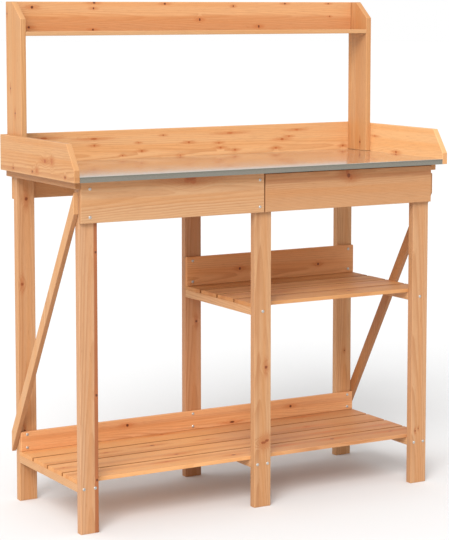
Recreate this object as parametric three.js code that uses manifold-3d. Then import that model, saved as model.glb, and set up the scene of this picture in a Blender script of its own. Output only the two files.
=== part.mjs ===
// Potting bench in planed fir: six legs, a galvanised worktop with raised sides, a hutch above it,
// one drawer, a full lower shelf and a half-width middle shelf.
// Millimetres, +Z up. Heights are above the floor. Depths are measured back from the worktop's front edge.
import * as THREE from 'three';
import { mergeVertices } from 'three/addons/utils/BufferGeometryUtils.js';
import Module from 'manifold-3d';

const wasm = await Module();
wasm.setup();

// ---- overall sizes
const width = 1000;             // over the side panels
const depth = 400;              // worktop front edge to the back of the rear apron
const worktopHeight = 803;
const hutchHeight = 1182;       // top of the uprights

// ---- clearances
const fitGap = 0.2;             // left wherever two boards meet
const boreClearance = 0.3;      // radial, round a screw's shank
const drawerSideGap = 2;        // each side of the drawer box, to the legs
const drawerReveal = 3;         // between the apron's end and the drawer front
const drawerLift = 0.6;         // drawer box above its runners

// ---- stock
const legWidth = 45;            // also the cross rails, laid flat
const legThickness = 19;
const apronThickness = 11;
const slatThickness = 9;        // slats, back boards, backsplash and drawer box
const panelThickness = 14;      // side panels and uprights

// ---- worktop
const sheetThickness = 1;
const sheetBendRadius = 2;
const worktopThickness = 13;    // board and sheet together
const panelRise = 70.5;         // side panels and backsplash above the worktop
const panelChamferDepth = 40;
const panelChamferDrop = 56;
const cleatWidth = 13.5;
const cleatHeight = 15.5;

// ---- hutch
const uprightDepth = 83;
const uprightChamferDepth = 48;
const uprightChamferDrop = 40;
const hutchShelfTop = 1113;
const hutchShelfThickness = 10;
const hutchBoardThickness = 12;

// ---- frame
const legSetback = 28;          // each outer leg's face in from the bench's side
const apronSetback = 26.5;      // apron and drawer front behind the worktop's edge
const apronFrontHeight = 92.5;
const apronBackHeight = 70;
const braceThickness = 12;
const braceCut = 49;            // length of a brace's upright end cuts
const braceTop = 767;
const braceFoot = 118;

// ---- shelves
const lowerShelfTop = 121;
const middleShelfTop = 483;
const slatCount = 4;
const slatGap = 7;
const lowerBoardHeight = 47;
const middleBoardHeight = 72;

// ---- drawer
const drawerFrontTopGap = 4;    // under the worktop
const drawerBoxTopGap = 5;
const drawerBackGap = 20.5;     // behind the drawer box, to the back legs
const drawerBottomThickness = 4;
const drawerBottomRise = 6;     // groove above the box's lower edge
const grooveDepth = 4;
const runnerWidth = 16;
const runnerHeight = 14;

// ---- screws
const shankRadius = 1.8;
const headRadius = 4;
const headHeight = 1.8;
const shortScrew = 20;          // board to leg
const apronScrew = 25;
const railScrew = 42;           // through a leg into a rail's end
const apronScrewRise = 13.5;    // from the apron's lower edge
const apronScrewDrop = 16.5;    // from its upper edge
const apronScrewInset = 12;     // from its right-hand end
const railScrewOffset = 13.75;  // each side of the leg's middle
const boardScrewOffset = 6;     // outwards from the leg's middle
const boardScrewInset = 10;     // from the board's edges

// ---- derived levels and faces
const worktopBottom = worktopHeight - worktopThickness;
const panelTop = worktopHeight + panelRise;
const sideX = width / 2;
const panelInnerX = sideX - panelThickness;
const legOuterX = sideX - legSetback;
const legInnerX = legOuterX - legWidth;
const legCenters = { left: legWidth / 2 - legOuterX, center: 0, right: legOuterX - legWidth / 2 };
const apronFace = apronSetback;
const frontLegFace = apronFace + apronThickness;
const frontLegBack = frontLegFace + legThickness;
const backLegBack = depth - apronThickness;
const backLegFace = backLegBack - legThickness;
const backsplashFace = depth - slatThickness;
const boardFace = backLegFace - slatThickness;
const uprightFront = backsplashFace - uprightDepth;
const hutchBoardFace = backsplashFace - hutchBoardThickness;
const apronBottom = worktopBottom - apronFrontHeight;
const apronEnd = -drawerReveal;
const runnerTop = apronBottom + runnerHeight;

const fir = new THREE.MeshStandardMaterial({ color: 0xdc9e68, roughness: 0.62 });
const galvanised = new THREE.MeshStandardMaterial({ color: 0x9a9c99, roughness: 0.4, metalness: 0.9 });
const screwSteel = new THREE.MeshStandardMaterial({ color: 0xc9cacb, roughness: 0.3, metalness: 0.9 });
const plywood = new THREE.MeshStandardMaterial({ color: 0xcfa070, roughness: 0.7 });

const bench = new THREE.Group();
const drawer = new THREE.Group();
bench.add(drawer);

// ---- solids
function toSolid(geometry) {
  const closed = geometry.clone();
  closed.deleteAttribute('normal');
  closed.deleteAttribute('uv');
  const merged = mergeVertices(closed, 1e-4);
  const vertProperties = new Float32Array(merged.attributes.position.array);
  const triVerts = new Uint32Array(merged.index.array);
  return new wasm.Manifold(new wasm.Mesh({ numProp: 3, vertProperties, triVerts }));
}

function toGeometry(solid) {
  const mesh = solid.getMesh();
  const geometry = new THREE.BufferGeometry();
  geometry.setAttribute('position', new THREE.BufferAttribute(mesh.vertProperties, 3));
  geometry.setIndex(new THREE.BufferAttribute(mesh.triVerts, 1));
  geometry.computeVertexNormals();
  return geometry;
}

// A range trimmed by half the fit gap at both ends, so that boards that meet stay clear.
function trimmed([low, high]) {
  return [low + fitGap / 2, high - fitGap / 2];
}

function middle([low, high]) {
  return (low + high) / 2;
}

function span([low, high]) {
  return high - low;
}

function overlaps(a, b) {
  return a[0] < b[1] && b[0] < a[1];
}

// ---- screws: all are driven back from a face, along +Y
const screws = [];

function addScrew(name, x, face, z, length) {
  screws.push({ name, x, face, z, length });
}

// A pan-head screw with a pointed shank, from the crown of its head to its tip.
function screwGeometry(length) {
  const profile = [
    new THREE.Vector2(0, -headHeight),
    new THREE.Vector2(headRadius * 0.55, -headHeight),
    new THREE.Vector2(headRadius * 0.9, -headHeight * 0.6),
    new THREE.Vector2(headRadius, 0),
    new THREE.Vector2(shankRadius, 0),
    new THREE.Vector2(shankRadius, length - 2 * shankRadius),
    new THREE.Vector2(0, length),
  ];
  return new THREE.LatheGeometry(profile, 12);
}

// The screws that pass through a board's box.
function screwsThrough(x, y, z) {
  const radius = shankRadius + boreClearance;
  return screws.filter((screw) => overlaps(x, [screw.x - radius, screw.x + radius])
    && overlaps(z, [screw.z - radius, screw.z + radius])
    && overlaps(y, [screw.face, screw.face + screw.length]));
}

// A cutter for one screw's bore, from just in front of its face to just past its tip.
function boreCutter(screw) {
  const radius = shankRadius + boreClearance;
  const lead = 1;
  const boreLength = lead + screw.length + boreClearance;
  const bore = new THREE.CylinderGeometry(radius, radius, boreLength, 12);
  bore.translate(screw.x, screw.face - lead + boreLength / 2, screw.z);
  return bore;
}

function place(parent, name, geometry, material) {
  const mesh = new THREE.Mesh(geometry, material);
  mesh.name = name;
  parent.add(mesh);
  return mesh;
}

// A square-edged board that fills three ranges, bored for its screws and cut by other shapes.
function board(name, x, y, z, options = {}) {
  const { parent = bench, material = fir, cuts = [] } = options;
  const [tx, ty, tz] = [trimmed(x), trimmed(y), trimmed(z)];
  const box = new THREE.BoxGeometry(span(tx), span(ty), span(tz));
  const allCuts = [...screwsThrough(tx, ty, tz).map(boreCutter), ...cuts];
  if (allCuts.length === 0) {
    place(parent, name, box, material).position.set(middle(tx), middle(ty), middle(tz));
    return;
  }
  box.translate(middle(tx), middle(ty), middle(tz));
  let solid = toSolid(box);
  for (const cut of allCuts) {
    solid = solid.subtract(toSolid(cut));
  }
  place(parent, name, toGeometry(solid), material);
}

// A box cutter that fills three ranges.
function cutter(x, y, z) {
  const box = new THREE.BoxGeometry(span(x), span(y), span(z));
  box.translate(middle(x), middle(y), middle(z));
  return box;
}

// A board of even thickness across the bench, from its outline in depth and height.
function sideBoard(name, x, outline, material = fir) {
  const shape = new THREE.Shape(outline.map(([y, z]) => new THREE.Vector2(y, z)));
  const across = trimmed(x);
  const geometry = new THREE.ExtrudeGeometry(shape, { depth: span(across), bevelEnabled: false });
  // depth, height and thickness turn into +Y, +Z and +X
  geometry.applyMatrix4(new THREE.Matrix4().makeBasis(
    new THREE.Vector3(0, 1, 0), new THREE.Vector3(0, 0, 1), new THREE.Vector3(1, 0, 0)));
  place(bench, name, geometry, material).position.x = across[0];
}

// The outline of an upright board with its front top corner cut off.
function chamferedOutline(y, z, chamferDepth, chamferDrop) {
  const [[front, back], [low, high]] = [trimmed(y), trimmed(z)];
  return [
    [front, low], [back, low], [back, high], [front + chamferDepth, high], [front, high - chamferDrop],
  ];
}

function mirrorX([low, high]) {
  return [-high, -low];
}

// ---- screw places
const lowerRailLevel = lowerShelfTop - slatThickness - legThickness / 2;
const middleRailLevel = middleShelfTop - slatThickness - legThickness / 2;

for (const [side, x] of [['left', legCenters.left], ['center', apronEnd - apronScrewInset]]) {
  addScrew(`apron_screw_${side}_low`, x, apronFace, apronBottom + apronScrewRise, apronScrew);
  addScrew(`apron_screw_${side}_high`, x, apronFace, worktopBottom - apronScrewDrop, apronScrew);
}
for (const [side, x] of Object.entries(legCenters)) {
  addScrew(`lower_rail_screw_${side}_1`, x - railScrewOffset, frontLegFace, lowerRailLevel, railScrew);
  addScrew(`lower_rail_screw_${side}_2`, x + railScrewOffset, frontLegFace, lowerRailLevel, railScrew);
}
for (const side of ['center', 'right']) {
  addScrew(`middle_rail_screw_${side}`, legCenters[side], frontLegFace, middleRailLevel, railScrew);
}
for (const [side, x] of [['center', -boardScrewOffset], ['right', legCenters.right + boardScrewOffset]]) {
  addScrew(`middle_board_screw_${side}_low`, x, boardFace, middleShelfTop + boardScrewInset, shortScrew);
  addScrew(`middle_board_screw_${side}_high`, x, boardFace,
    middleShelfTop + middleBoardHeight - boardScrewInset, shortScrew);
}

for (const screw of screws) {
  const mesh = place(bench, screw.name, screwGeometry(screw.length), screwSteel);
  mesh.position.set(screw.x, screw.face - fitGap / 2, screw.z);
}

// ---- legs
const legs = Object.entries(legCenters);
for (const [side, x] of legs) {
  const across = [x - legWidth / 2, x + legWidth / 2];
  board(`leg_front_${side}`, across, [frontLegFace, frontLegBack], [0, worktopBottom]);
  board(`leg_back_${side}`, across, [backLegFace, backLegBack], [0, worktopBottom]);
}

// ---- aprons, cleats and braces
board('apron_front', [-legOuterX, apronEnd], [apronFace, frontLegFace], [apronBottom, worktopBottom]);
board('apron_back', [-legOuterX, legOuterX], [backLegBack, depth],
  [worktopBottom - apronBackHeight, worktopBottom]);

const cleatX = [legOuterX, legOuterX + cleatWidth];
const cleatZ = [worktopBottom - cleatHeight, worktopBottom];
const braceX = [legOuterX, legOuterX + braceThickness];
const braceOutline = [
  [frontLegFace, braceTop - braceCut], [backLegBack, braceFoot],
  [backLegBack, braceFoot + braceCut], [frontLegFace, braceTop],
];
for (const [side, turned] of [['left', mirrorX], ['right', (range) => range]]) {
  board(`cleat_${side}`, turned(cleatX), [apronFace, depth], cleatZ);
  sideBoard(`brace_${side}`, turned(braceX), braceOutline);
}

// ---- worktop: a board in a galvanised sheet folded down over its front edge
const boardOutline = chamferedOutline([sheetThickness, backsplashFace],
  [worktopBottom, worktopHeight - sheetThickness], sheetBendRadius, sheetBendRadius);
sideBoard('worktop_board', [-panelInnerX, panelInnerX], boardOutline);

function sheetOutline() {
  const shape = new THREE.Shape();
  const [front, back] = trimmed([0, backsplashFace]);
  const [low, high] = trimmed([worktopBottom, worktopHeight]);
  const inner = Math.max(sheetBendRadius - sheetThickness + fitGap, 0.2);
  const wall = sheetThickness - fitGap;
  shape.moveTo(front, low);
  shape.lineTo(front + wall, low);
  shape.lineTo(front + wall, high - wall - inner);
  shape.absarc(front + wall + inner, high - wall - inner, inner, Math.PI, Math.PI / 2, true);
  shape.lineTo(back, high - wall);
  shape.lineTo(back, high);
  shape.lineTo(front + wall + inner, high);
  shape.absarc(front + wall + inner, high - wall - inner, inner + wall, Math.PI / 2, Math.PI, false);
  return shape.getPoints(4).map((point) => [point.x, point.y]);
}
sideBoard('worktop_sheet', [-panelInnerX, panelInnerX], sheetOutline(), galvanised);

// ---- raised sides, backsplash and hutch
const panelX = [panelInnerX, sideX];
const uprightX = [panelInnerX - panelThickness, panelInnerX];
const panelOutline = chamferedOutline([0, depth], [worktopBottom, panelTop],
  panelChamferDepth, panelChamferDrop);
const uprightOutline = chamferedOutline([uprightFront, backsplashFace], [worktopHeight, hutchHeight],
  uprightChamferDepth, uprightChamferDrop);
for (const [side, turned] of [['left', mirrorX], ['right', (range) => range]]) {
  sideBoard(`side_panel_${side}`, turned(panelX), panelOutline);
  sideBoard(`upright_${side}`, turned(uprightX), uprightOutline);
}
board('backsplash', [-panelInnerX, panelInnerX], [backsplashFace, depth], [worktopBottom, panelTop]);

const hutchX = [-uprightX[0], uprightX[0]];
const hutchShelfBottom = hutchShelfTop - hutchShelfThickness;
board('hutch_shelf', hutchX, [uprightFront, hutchBoardFace], [hutchShelfBottom, hutchShelfTop]);
board('hutch_back_board', hutchX, [hutchBoardFace, backsplashFace], [hutchShelfBottom, hutchHeight]);

// ---- shelves: cross rails between the legs, slats on them and a board behind
function shelf(level, top, sides, boardHeight) {
  const railZ = [top - slatThickness - legThickness, top - slatThickness];
  for (const side of sides) {
    const x = legCenters[side];
    board(`${level}_rail_${side}`, [x - legWidth / 2, x + legWidth / 2], [frontLegBack, backLegFace], railZ);
  }
  const across = [legCenters[sides[0]] - legWidth / 2, legOuterX];
  const slatWidth = (backLegFace - frontLegBack - slatGap * (slatCount - 1)) / slatCount;
  for (let i = 0; i < slatCount; i += 1) {
    const front = frontLegBack + i * (slatWidth + slatGap);
    board(`${level}_slat_${i + 1}`, across, [front, front + slatWidth], [top - slatThickness, top]);
  }
  board(`${level}_back_board`, across, [boardFace, backLegFace], [top, top + boardHeight]);
}
shelf('lower', lowerShelfTop, ['left', 'center', 'right'], lowerBoardHeight);
shelf('middle', middleShelfTop, ['center', 'right'], middleBoardHeight);

// ---- drawer and its runners, between the middle and right-hand legs
const bayX = [legWidth / 2, legInnerX];
const runnerZ = [apronBottom, runnerTop];
board('drawer_runner_left', [bayX[0], bayX[0] + runnerWidth], [frontLegFace, backLegBack], runnerZ);
board('drawer_runner_right', [bayX[1] - runnerWidth, bayX[1]], [frontLegFace, backLegBack], runnerZ);

const boxX = [bayX[0] + drawerSideGap, bayX[1] - drawerSideGap];
const boxInnerX = [boxX[0] + slatThickness, boxX[1] - slatThickness];
const boxY = [frontLegFace, backLegFace - drawerBackGap];
const boxInnerY = [boxY[0] + slatThickness, boxY[1] - slatThickness];
const boxZ = [runnerTop + drawerLift, worktopBottom - drawerBoxTopGap];
const bottomZ = [boxZ[0] + drawerBottomRise, boxZ[0] + drawerBottomRise + drawerBottomThickness];
const grooveX = [boxInnerX[0] - grooveDepth, boxInnerX[1] + grooveDepth];
const groove = cutter(grooveX, [boxInnerY[0] - grooveDepth, boxY[1] + 1], bottomZ);
const backZ = [bottomZ[1], boxZ[1]];
const grooved = { parent: drawer, cuts: [groove] };

board('drawer_front', [0, legOuterX], [apronFace, frontLegFace],
  [apronBottom, worktopBottom - drawerFrontTopGap], { parent: drawer });
board('drawer_inner_front', boxInnerX, [boxY[0], boxInnerY[0]], boxZ, grooved);
board('drawer_side_left', [boxX[0], boxInnerX[0]], boxY, boxZ, grooved);
board('drawer_side_right', [boxInnerX[1], boxX[1]], boxY, boxZ, grooved);
board('drawer_back', boxInnerX, [boxInnerY[1], boxY[1]], backZ, { parent: drawer });
board('drawer_bottom', grooveX, [boxInnerY[0] - grooveDepth, boxY[1]], bottomZ,
  { parent: drawer, material: plywood });

// ---- the origin is on the floor, under the middle of the bench
bench.position.set(0, -depth / 2, -fitGap / 2);

export default bench;
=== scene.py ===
"""A fir potting bench with a galvanised worktop, a hutch, slatted shelves and one drawer."""

import math
import random

import bmesh
import bpy
from bpy.props import FloatProperty, FloatVectorProperty, PointerProperty
from mathutils import Matrix, Vector


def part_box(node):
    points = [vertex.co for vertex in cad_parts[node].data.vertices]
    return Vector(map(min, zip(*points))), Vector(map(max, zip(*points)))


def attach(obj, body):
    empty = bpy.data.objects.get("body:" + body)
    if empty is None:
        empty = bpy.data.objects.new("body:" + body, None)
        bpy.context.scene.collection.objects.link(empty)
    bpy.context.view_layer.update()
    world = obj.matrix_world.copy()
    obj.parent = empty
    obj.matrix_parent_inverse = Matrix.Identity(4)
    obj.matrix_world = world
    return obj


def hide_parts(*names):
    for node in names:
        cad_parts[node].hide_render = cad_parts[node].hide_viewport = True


bl_info = {
    "name": "Potting Bench",
    "version": (1, 0, 0),
    "blender": (4, 5, 0),
    "location": "View3D > Sidebar > Potting Bench",
    "description": "Builds a fir potting bench with a galvanised worktop around its frame",
    "category": "Object",
}

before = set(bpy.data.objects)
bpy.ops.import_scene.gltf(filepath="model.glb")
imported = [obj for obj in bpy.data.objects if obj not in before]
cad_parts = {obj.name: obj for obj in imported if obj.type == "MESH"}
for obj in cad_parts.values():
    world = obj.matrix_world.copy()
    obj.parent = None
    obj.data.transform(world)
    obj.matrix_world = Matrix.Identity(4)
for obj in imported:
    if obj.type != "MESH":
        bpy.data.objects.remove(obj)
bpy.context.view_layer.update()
MM = 0.001

# Where the grain runs and which way a board is broad: axes of length, width and thickness.
ALONG_X = (0, 2, 1)
FLAT_X = (0, 1, 2)
ALONG_Y = (1, 2, 0)
FLAT_Y = (1, 0, 2)
UPRIGHT_X = (2, 0, 1)
UPRIGHT_Y = (2, 1, 0)

# A knot is (share of the length, share of the width, radius in mm, stretch along the grain) and,
# where it is paler than a black knot, the depth of its tone.
LEGS = {
    "leg_front_left": (
        UPRIGHT_X,
        [(0.80, 0.90, 3.0, 1.2), (0.395, 0.90, 3.2, 1.2), (0.152, 0.90, 3.0, 1.3)]),
    "leg_front_center": (
        UPRIGHT_X,
        [(0.42, 0.70, 4.0, 1.1, 0.8), (0.194, 0.56, 8.5, 0.42, 0.68),
         (0.199, 0.76, 6.0, 0.6, 0.72)]),
    "leg_front_right": (UPRIGHT_X, [(0.165, 0.28, 2.0, 1.0), (0.172, 0.48, 1.5, 1.0)]),
    "leg_back_left": (
        UPRIGHT_X,
        [(0.913, 0.53, 4.2, 1.2, 0.8), (0.658, 0.25, 4.0, 1.1, 0.7), (0.214, 0.30, 2.5, 1.3)]),
    "leg_back_center": (UPRIGHT_X, [(0.496, 0.69, 3.2, 1.2)]),
    "leg_back_right": (UPRIGHT_X, [(0.35, 0.55, 2.0, 1.0)]),
}
APRONS = {
    "apron_front": (
        ALONG_X,
        [(0.585, 0.97, 8.0, 2.2, 0.6), (0.568, 0.90, 5.5, 1.8, 0.45),
         (0.600, 0.87, 5.5, 1.6, 0.45)]),
    "apron_back": (ALONG_X, [(0.18, 0.4, 3.0, 1.3), (0.52, 0.7, 2.6, 1.2), (0.83, 0.35, 3.6, 1.5)]),
    "cleat_left": (ALONG_Y, []),
    "cleat_right": (ALONG_Y, []),
}
BRACES = {
    "brace_left": (UPRIGHT_Y, [(0.35, 0.4, 2.0, 1.2)]),
    "brace_right": (UPRIGHT_Y, []),
}
WORKTOP = {"worktop_board": (FLAT_X, [(0.31, 0.62, 5.0, 1.3), (0.74, 0.28, 4.0, 1.5, 0.7)])}
BRADS_ALONG = (0.115, 0.5475, 0.815)  # a side panel's brads, as shares of its length
# Weather draws a dark stain above and below each brad, which is drawn as a knot.
BRAD_STAINS = [(along, 0.115, 3.4, 0.45, 0.9) for along in BRADS_ALONG]
RAISED_SIDES = {
    "side_panel_left": (
        ALONG_Y,
        [(0.375, 0.455, 4.4, 1.2, 0.6), (0.285, 0.48, 7.0, 0.35, 0.45),
         (0.485, 0.16, 5.5, 0.4, 0.5), *BRAD_STAINS]),
    "side_panel_right": (ALONG_Y, [(0.487, 0.20, 3.0, 1.4, 0.7), (0.72, 0.62, 2.0, 2.0, 0.5)]),
    "backsplash": (
        ALONG_X,
        [
            (0.097, 0.84, 2.4, 4.0, 0.6), (0.232, 0.77, 2.4, 4.0, 0.6),
            (0.233, 0.575, 2.4, 1.3, 0.6), (0.426, 0.80, 1.8, 1.4, 0.7),
            (0.621, 0.79, 2.4, 4.0, 0.5), (0.356, 0.61, 1.8, 1.2, 0.5),
            (0.365, 0.36, 2.4, 1.5, 0.6), (0.50, 0.56, 2.5, 1.6, 0.6),
            (0.588, 0.51, 2.4, 1.3, 0.5), (0.593, 0.36, 2.4, 1.6, 0.6),
            (0.636, 0.28, 2.4, 1.4, 0.6), (0.311, 0.25, 1.8, 1.2, 0.7),
            (0.475, 0.19, 1.8, 1.2, 0.6), (0.779, 0.54, 2.8, 2.0, 0.6),
            (0.80, 0.62, 2.2, 1.6, 0.5), (0.76, 0.28, 2.4, 1.6, 0.6),
            (0.824, 0.81, 2.2, 3.0, 0.5), (0.97, 0.26, 2.6, 1.2, 0.7),
        ],
    ),
}
HUTCH = {
    "upright_left": (
        UPRIGHT_Y,
        [(0.926, 0.91, 2.2, 1.2), (0.47, 0.72, 2.2, 1.2), (0.32, 0.42, 2.4, 1.2)]),
    "upright_right": (UPRIGHT_Y, [(0.055, 0.33, 2.6, 1.2)]),
    "hutch_shelf": (FLAT_X, [(0.31, 0.3, 2.0, 1.5), (0.84, 0.1, 2.0, 1.3)]),
    "hutch_back_board": (
        ALONG_X,
        [
            (0.05, 0.835, 3.6, 1.1), (0.041, 0.24, 2.6, 1.3), (0.219, 0.80, 2.4, 1.0),
            (0.221, 0.97, 2.6, 1.6), (0.217, 0.16, 2.4, 1.3), (0.423, 0.94, 2.4, 1.4),
            (0.526, 0.455, 3.6, 0.8), (0.627, 0.87, 2.6, 0.7), (0.7055, 0.23, 3.4, 0.9),
            (0.787, 0.95, 2.0, 1.4), (0.925, 0.95, 1.8, 1.2), (0.93, 0.54, 1.6, 1.0),
        ],
    ),
}
SHELF_RAILS = {
    "lower_rail_left": (FLAT_Y, [(0.6, 0.1, 2.4, 1.2)]),
    "lower_rail_center": (FLAT_Y, []),
    "lower_rail_right": (FLAT_Y, []),
    "middle_rail_center": (FLAT_Y, []),
    "middle_rail_right": (FLAT_Y, []),
}
SHELF_BOARDS = {
    "lower_back_board": (
        ALONG_X, [(0.299, 0.68, 3.8, 1.1), (0.613, 0.14, 2.6, 3.0), (0.797, 0.6, 3.4, 1.2)]),
    "middle_back_board": (ALONG_X, [(0.306, 0.47, 3.6, 1.0), (0.779, 0.40, 3.4, 1.0)]),
}
DRAWER = {
    "drawer_front": (
        ALONG_X,
        [(0.488, 0.85, 6.2, 0.9, 0.8), (0.480, 0.93, 10.0, 0.5, 0.45),
         (0.502, 0.80, 8.0, 0.6, 0.35)]),
    "drawer_inner_front": (ALONG_X, []),
    "drawer_side_left": (ALONG_Y, [(0.7, 0.5, 2.6, 1.3)]),
    "drawer_side_right": (ALONG_Y, [(0.3, 0.6, 3.0, 1.2)]),
    "drawer_back": (ALONG_X, [(0.4, 0.5, 3.4, 1.2)]),
}
RUNNERS = {
    "drawer_runner_left": (ALONG_Y, []),
    "drawer_runner_right": (ALONG_Y, []),
}
# The slats' knots are placed on the whole shelf, front to back.
LOWER_SLAT_KNOTS = [
    (0.395, 0.945, 4.4, 1.8, 0.6), (0.181, 0.63, 4.6, 1.8, 0.6), (0.317, 0.66, 4.8, 1.8, 0.8),
    (0.472, 0.62, 4.2, 1.6, 0.6), (0.326, 0.32, 4.8, 1.6, 0.7), (0.269, 0.155, 4.2, 2.0, 0.5),
    (0.446, 0.09, 4.6, 1.6, 0.8), (0.024, 0.375, 3.4, 1.4, 0.6), (0.83, 0.92, 4.6, 2.4, 0.6),
    (0.772, 0.61, 5.6, 2.6, 0.6), (0.753, 0.15, 5.4, 1.4), (0.613, 0.15, 4.2, 2.0, 0.5),
    (0.786, 0.38, 4.2, 3.0, 0.4), (0.955, 0.37, 4.2, 2.0, 0.6), (0.935, 0.14, 4.6, 2.2, 0.7),
]
MIDDLE_SLAT_KNOTS = [
    (0.30, 0.35, 4.2, 1.6, 0.6), (0.62, 0.15, 4.4, 1.6, 0.8), (0.78, 0.65, 4.2, 1.6, 0.6),
    (0.45, 0.85, 3.6, 1.6, 0.6),
]
# Boards whose wood is redder, paler or darker than the rest: shares of red, green and blue. Some
# also hold painted light: the right side panel and the backsplash are painted lighter, and the
# right brace, the left cleat and the middle slats are painted darker with shade.
TONES_AND_PAINTED_LIGHT = {
    "hutch_back_board": (1.15, 1.10, 1.06),
    "lower_back_board": (1.22, 1.14, 1.12),
    "lower_slats": (1.25, 1.19, 1.07),
    "middle_slats": (1.0, 0.90, 0.76),
    "middle_back_board": (1.22, 1.08, 0.97),
    "side_panel_left": (0.97, 0.92, 0.85),
    "side_panel_right": (1.24, 1.25, 1.22),
    "backsplash": (1.14, 1.12, 1.11),
    "upright_left": (0.96, 0.91, 0.84),
    "upright_right": (0.91, 0.82, 0.72),
    "drawer_front": (0.87, 0.82, 0.81),
    "apron_front": (0.94, 0.95, 1.0),
    "leg_front_left": (0.93, 0.93, 1.04),
    "leg_front_center": (0.88, 0.86, 0.88),
    "leg_front_right": (0.89, 0.87, 0.91),
    "leg_back_left": (0.93, 0.90, 0.91),
    "leg_back_center": (0.81, 0.72, 0.72),
    "brace_right": (0.77, 0.67, 0.59),
    "cleat_left": (0.80, 0.74, 0.70),
}
# Painted shade that turns a board browner towards the end that the middle shelf shades: the share
# of the length where that starts, the share where it is done, and how strong it is.
PAINTED_END_SHADE = {"lower_slats": (0.44, 0.66, 0.85)}
# Boards with painted shade on the faces that look down, and how strong it is.
PAINTED_UNDERSIDE_SHADE = {"brace_left": 1.0, "brace_right": 0.55}
# Darker heartwood along a board: share of the width at its middle, half its breadth as a share,
# and how strong it is.
HEARTWOOD = {
    "leg_front_left": (0.91, 0.125, 1.0),
    "hutch_back_board": (0.34, 0.24, 0.30),
    "side_panel_left": (0.10, 0.05, 0.25),
    "drawer_front": (0.80, 0.06, 0.35),
    "leg_back_left": (0.30, 0.14, 0.10),
    "lower_back_board": (0.62, 0.14, 0.25),
    "leg_front_center": (0.22, 0.08, 0.25),
    "lower_slats": (0.16, 0.03, 0.35),
    "middle_slats": (0.22, 0.04, 0.40),
}

# Shades of a board's own early wood, as shares of its red, green and blue.
AMBER = (0.95, 0.80, 0.62)
WORN_EDGE = (1.10, 1.12, 1.15)
# Shades of its own late wood.
HEART = (0.80, 0.58, 0.46)
# Painted shade on faces that look down, as shares of the late wood.
UNDERSIDE_SHADE_SHARES = (0.52, 0.30, 0.21)
RESIN = (0.80, 0.66, 0.55)
FLAME = (0.92, 0.66, 0.48)
EMBER = (0.86, 0.50, 0.32)
SAWN_END = (0.86, 0.80, 0.72)
# Painted shade in the gaps between the slats, as shares of the late wood.
GAP_SHADE_SHARES = (0.42, 0.34, 0.30)
# What a colour keeps where painted shade turns it browner.
END_SHADE_SHARES = (0.70, 0.64, 0.68)
# Colours of their own.
DUST = (0.64, 0.49, 0.34)
# A painted dark reflection on the sheet's faces that look front and back, chiefly the fold's skirt.
SKIRT_DARK_REFLECTION = (0.262, 0.247, 0.208)
PLATED_STEEL = (0.58, 0.565, 0.535)
BRAD_STEEL = (0.055, 0.030, 0.020)
POPLAR_EARLY = (0.55, 0.37, 0.22)
POPLAR_LATE = (0.43, 0.26, 0.13)
POPLAR_FIGURE = (0.48, 0.31, 0.17)

# The log that a board is cut from: the least and the most of what is drawn for it, in metres,
# with the pith's place across as a share of the board's width.
RING_SPACING = (0.0026, 0.0042)
PITH_ACROSS = (-0.6, 0.6)
PITH_DEEP = (0.015, 0.05)
TAPER = (0.008, 0.022)
WAVINESS = (0.008, 0.018)
# How far the grain moves from one slat of a row to the next: along, across and through.
SLAT_STEP = (0.37, -0.06, 0.011)
# How often the wood's unevenness changes in a metre along, across and through a board.
WAVE_SCALE = (2.2, 14.0, 14.0)
DRIFT_SCALE = (9.0, 60.0, 60.0)
RING_STRENGTH_SCALE = (1.5, 25.0, 25.0)
FIBRE_SCALE = (26.0, 1500.0, 1500.0)
FIGURE_SCALE = (1.3, 55.0, 55.0)
FLECK_SCALE = (45.0, 700.0, 700.0)
KNOT_EDGE_SCALE = (260.0, 520.0, 90.0)
HEART_SCALE = (3.0, 8.0, 8.0)
# the ragged edge of the painted end shade
END_SHADE_SCALE = (1.5, 9.0, 9.0)
# the streaks of the painted underside shade
UNDERSIDE_SCALE = (18.0, 60.0, 160.0)

# Edges that turn by more than this are eased, in steps; edges that turn by less than the
# smooth turn are shaded as one curve.
SHARP_TURN = math.radians(20)
EASING_STEPS = 3
SMOOTH_TURN = math.radians(30)
FLAT_TURN = math.radians(1)
SAME_PLACE = 0.01 * MM
PLY_ROUNDING = 0.3 * MM
SHEET_WALL = 0.8 * MM
FOLD_STEPS = 8

# The board that each kind of CAD screw's head lies on.
BOARD_UNDER = {
    "apron": "apron_front",
    "lower_rail": "leg_front_left",
    "middle_rail": "leg_front_left",
    "middle_board": "middle_back_board",
}
# How far screws and brads sit in from the edges of what they hold, or aside from the middle of
# what they go into.
SHELF_SCREW_LOW = 8 * MM
SHELF_SCREW_HIGH = 7 * MM
SHELF_SCREW_ASIDE = 6 * MM
APRON_SCREW_INSET = 16 * MM
UPRIGHT_SCREW_INSET = 20 * MM
HUTCH_SCREW_ASIDE = 20 * MM
BRAD_RISE = 9.5 * MM
DRAWER_SCREW_FROM_END = 4.5 * MM
DRAWER_SCREW_LOW = 20 * MM
DRAWER_SCREW_HIGH = 14 * MM
# A cross recess is this share of a pan head's radius wide.
RECESS_SHARE = 0.24
# The radius, the height and the width of the recess of a countersunk head; the last two of a brad.
COUNTERSUNK = (3 * MM, 0.5 * MM, 0.8 * MM)
BRAD_HEAD = (0.15 * MM, 0.1 * MM)
FACING_FRONT = Vector((0, -1, 0))
FACING_BACK = Vector((0, 1, 0))

CAMERA_PLACE = Vector((-2.2145, -3.8001, 1.1665))
CAMERA_SHIFT = -0.15
SENSOR_WIDTH = 36
FAR_CLIP = 200
# Where the lamps shine to, and how wide each one is.
KEY_COURSE = Vector((0.55, 0.62, -0.60))
KEY_SPREAD = math.radians(30)
FILL_COURSE = Vector((0.75, 0.10, -0.75))
FILL_SPREAD = math.radians(90)
FLOOR_RADIUS = 60
FLOOR_SIDES = 96


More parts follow.
